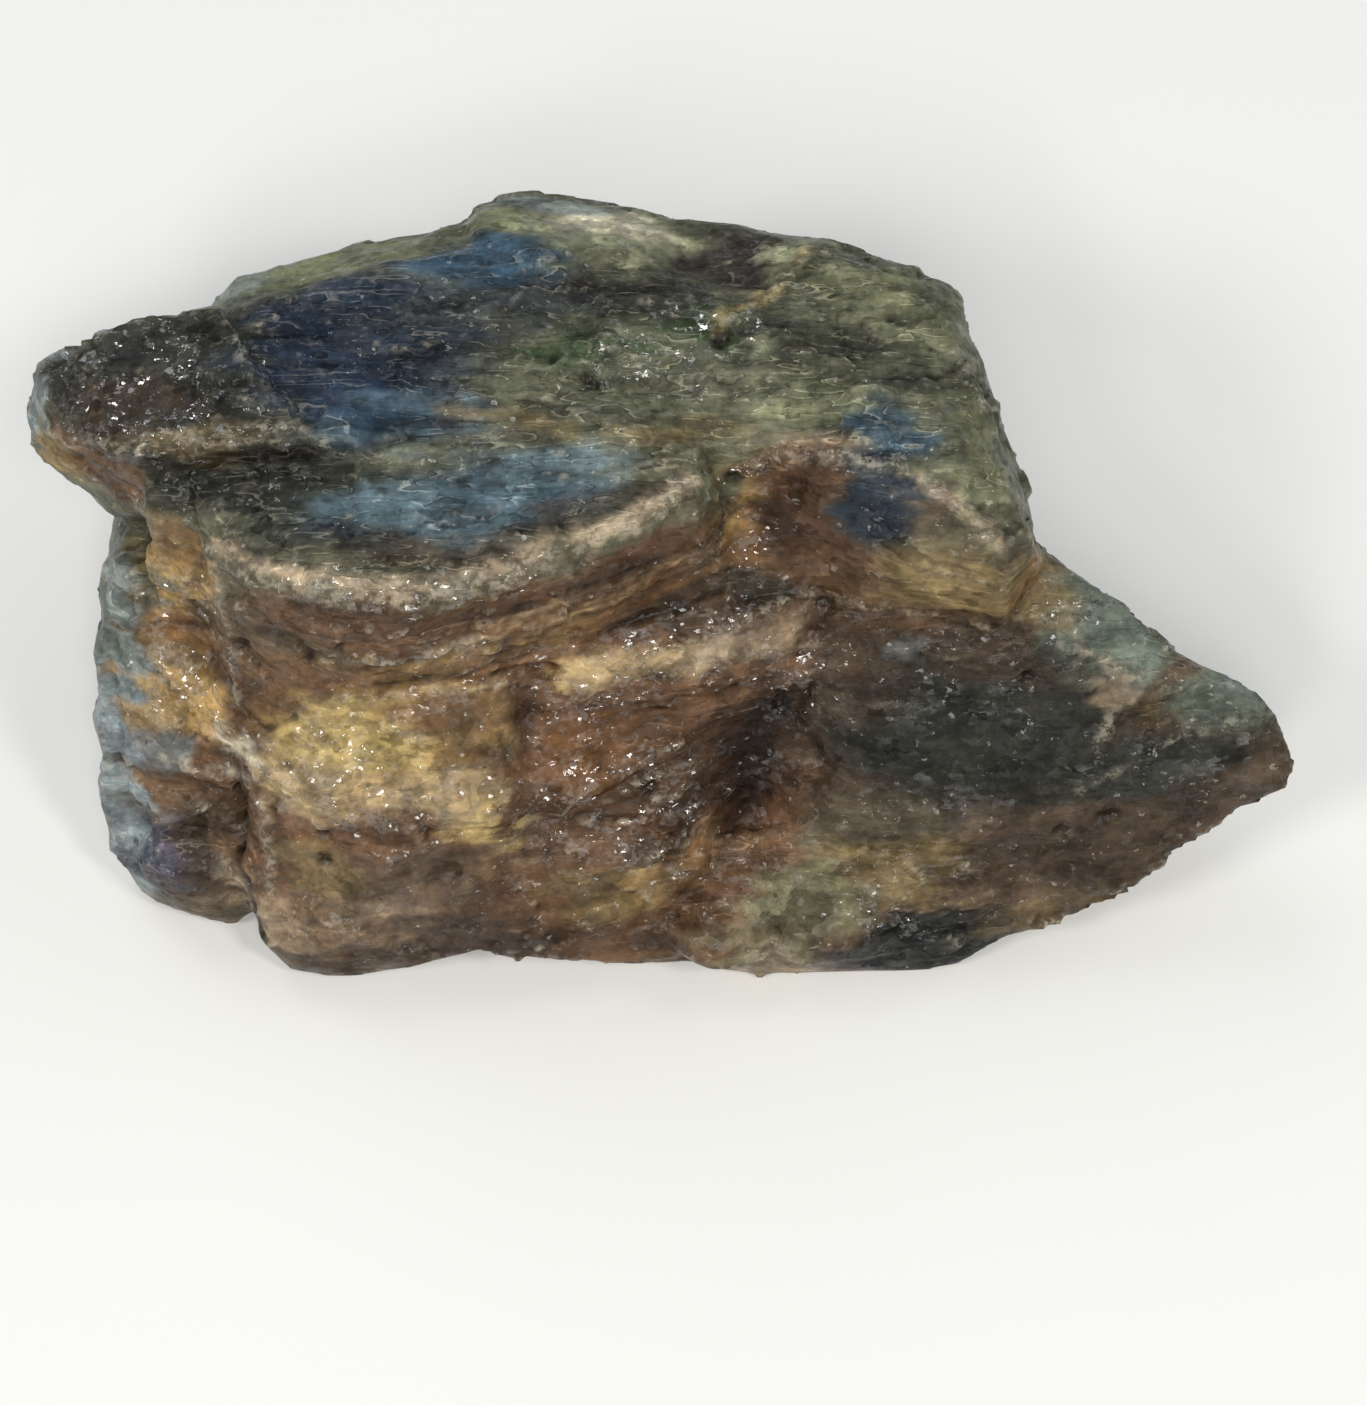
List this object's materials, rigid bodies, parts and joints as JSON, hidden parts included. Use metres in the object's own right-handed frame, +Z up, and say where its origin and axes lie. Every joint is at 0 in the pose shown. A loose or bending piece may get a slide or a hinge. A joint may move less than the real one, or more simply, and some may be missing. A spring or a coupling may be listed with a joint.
{
  "type": "rough sapphire",
  "caption": "Rough uncut gemstone with flat parting planes, stepped ledges and a wedge-shaped tip, resting on a flat cleavage face.",
  "frame": {"origin": "middle of the underside, on the surface that the stone rests on", "axes": "+X along the stone towards its wedge tip, +Y towards its rounded back, +Z up"},
  "size_m": [0.0378, 0.0222, 0.0151],
  "materials": {
    "corundum": "rough"
  },
  "bodies": {
    "root": {"rough_sapphire": "corundum"}
  },
  "joints": []
}
